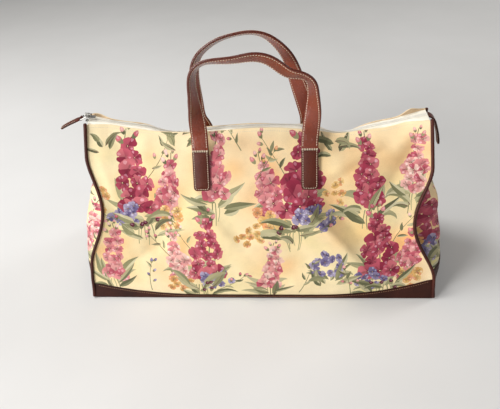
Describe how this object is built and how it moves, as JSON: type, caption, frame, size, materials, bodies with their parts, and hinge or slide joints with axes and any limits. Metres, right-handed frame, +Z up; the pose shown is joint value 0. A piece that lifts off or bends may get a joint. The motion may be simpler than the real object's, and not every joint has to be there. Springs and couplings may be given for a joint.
{
  "type": "duffel bag",
  "caption": "Zip-top duffel bag of floral printed canvas with leather base, corner piping and strap handles, standing upright with its zip closed.",
  "frame": {"origin": "middle of the leather bottom, on the floor", "axes": "+X along the bag to its right end, -Y towards the front, +Z up"},
  "size_m": [0.593, 0.2292, 0.3923],
  "materials": {
    "canvas": "printed cotton canvas",
    "base_leather": "smooth, satin",
    "piping_leather": "smooth, satin",
    "strap_leather": "smooth, satin",
    "zip_tape": "woven",
    "zip_coil": "matt",
    "zip_metal": "polished",
    "board": "matt"
  },
  "bodies": {
    "bag": {"front_panel": "canvas", "back_panel": "canvas", "left_gusset": "canvas", "right_gusset": "canvas", "front_base_trim": "base_leather", "back_base_trim": "base_leather", "left_base_trim": "base_leather", "right_base_trim": "base_leather", "base_panel": "base_leather", "base_stiffener": "board", "front_left_piping": "piping_leather", "front_right_piping": "piping_leather", "back_left_piping": "piping_leather", "back_right_piping": "piping_leather", "front_zip_tape": "zip_tape", "back_zip_tape": "zip_tape", "front_zip_coil": "zip_coil", "back_zip_coil": "zip_coil", "zip_end_tab": "strap_leather", "front_left_strap_end": "strap_leather", "front_right_strap_end": "strap_leather", "back_left_strap_end": "strap_leather", "back_right_strap_end": "strap_leather"},
    "slider": {"zip_slider": "zip_metal"},
    "pull_ring": {"zip_pull_ring": "zip_metal"},
    "pull_tab": {"zip_pull_tab": "strap_leather"},
    "front_loop": {"front_handle": "strap_leather"},
    "back_loop": {"back_handle": "strap_leather"}
  },
  "joints": [
    {"name": "zip_slide", "type": "slide", "parent": "bag", "child": "slider", "axis": [0.9853, 0, -0.1706], "range_m": [0, 0.075]},
    {"name": "zip_ring_lift", "type": "hinge", "parent": "slider", "child": "pull_ring", "pos_m": [-0.25023, 0, 0.27965], "axis": [0, 1, 0], "range_deg": [0, 151]},
    {"name": "zip_tab_swing", "type": "hinge", "parent": "pull_ring", "child": "pull_tab", "pos_m": [-0.26229, 0, 0.27429], "axis": [0, 1, 0], "range_deg": [-30, 60]},
    {"name": "front_handle_swing", "type": "hinge", "parent": "bag", "child": "front_loop", "pos_m": [0, -0.03585, 0.2337], "axis": [1, 0, 0], "range_deg": [0, 140]},
    {"name": "back_handle_swing", "type": "hinge", "parent": "bag", "child": "back_loop", "pos_m": [0, 0.03585, 0.2337], "axis": [-1, 0, 0], "range_deg": [0, 140]}
  ],
  "couplings": [
    {"joint": "zip_ring_lift", "follows": "zip_slide", "rad_per_m": 34.9}
  ]
}
